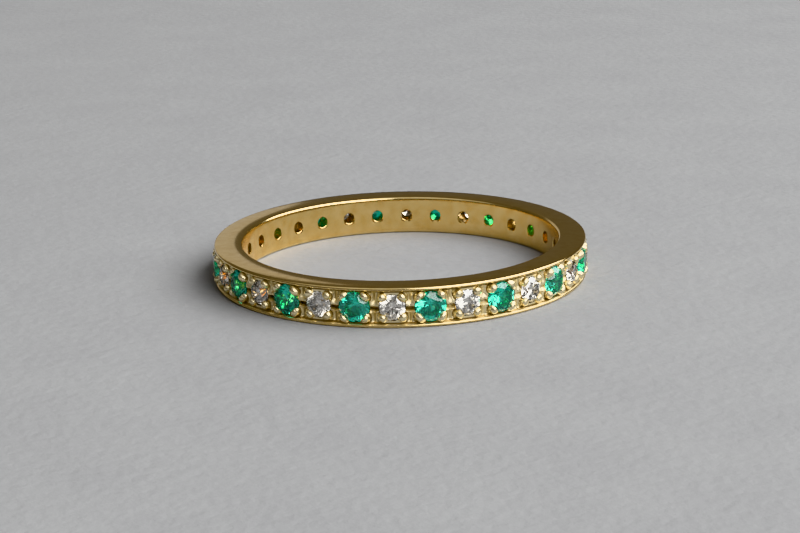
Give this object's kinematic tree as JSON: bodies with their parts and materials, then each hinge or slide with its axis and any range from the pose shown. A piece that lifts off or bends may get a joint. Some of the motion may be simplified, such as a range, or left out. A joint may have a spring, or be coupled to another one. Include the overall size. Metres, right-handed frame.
{
  "type": "stackable ring",
  "caption": "Slim stackable ring: a round gold band with flat sides, bead-set all the way round with small round emeralds and diamonds in turn.",
  "frame": {"origin": "centre of the flat side that the ring lies on", "axes": "+Z along the finger hole, upwards from the flat side it lies on; +X through the middle of emerald_01"},
  "size_m": [0.0202, 0.0202, 0.0021],
  "materials": {
    "gold": "polished yellow gold",
    "emerald": "polished faceted stone",
    "diamond": "polished faceted stone"
  },
  "bodies": {
    "root": {"band": "gold", "emerald_01": "emerald", "emerald_02": "emerald", "emerald_03": "emerald", "emerald_04": "emerald", "emerald_05": "emerald", "emerald_06": "emerald", "emerald_07": "emerald", "emerald_08": "emerald", "emerald_09": "emerald", "emerald_10": "emerald", "emerald_11": "emerald", "emerald_12": "emerald", "emerald_13": "emerald", "emerald_14": "emerald", "emerald_15": "emerald", "emerald_16": "emerald", "diamond_01": "diamond", "diamond_02": "diamond", "diamond_03": "diamond", "diamond_04": "diamond", "diamond_05": "diamond", "diamond_06": "diamond", "diamond_07": "diamond", "diamond_08": "diamond", "diamond_09": "diamond", "diamond_10": "diamond", "diamond_11": "diamond", "diamond_12": "diamond", "diamond_13": "diamond", "diamond_14": "diamond", "diamond_15": "diamond", "diamond_16": "diamond"}
  },
  "joints": []
}
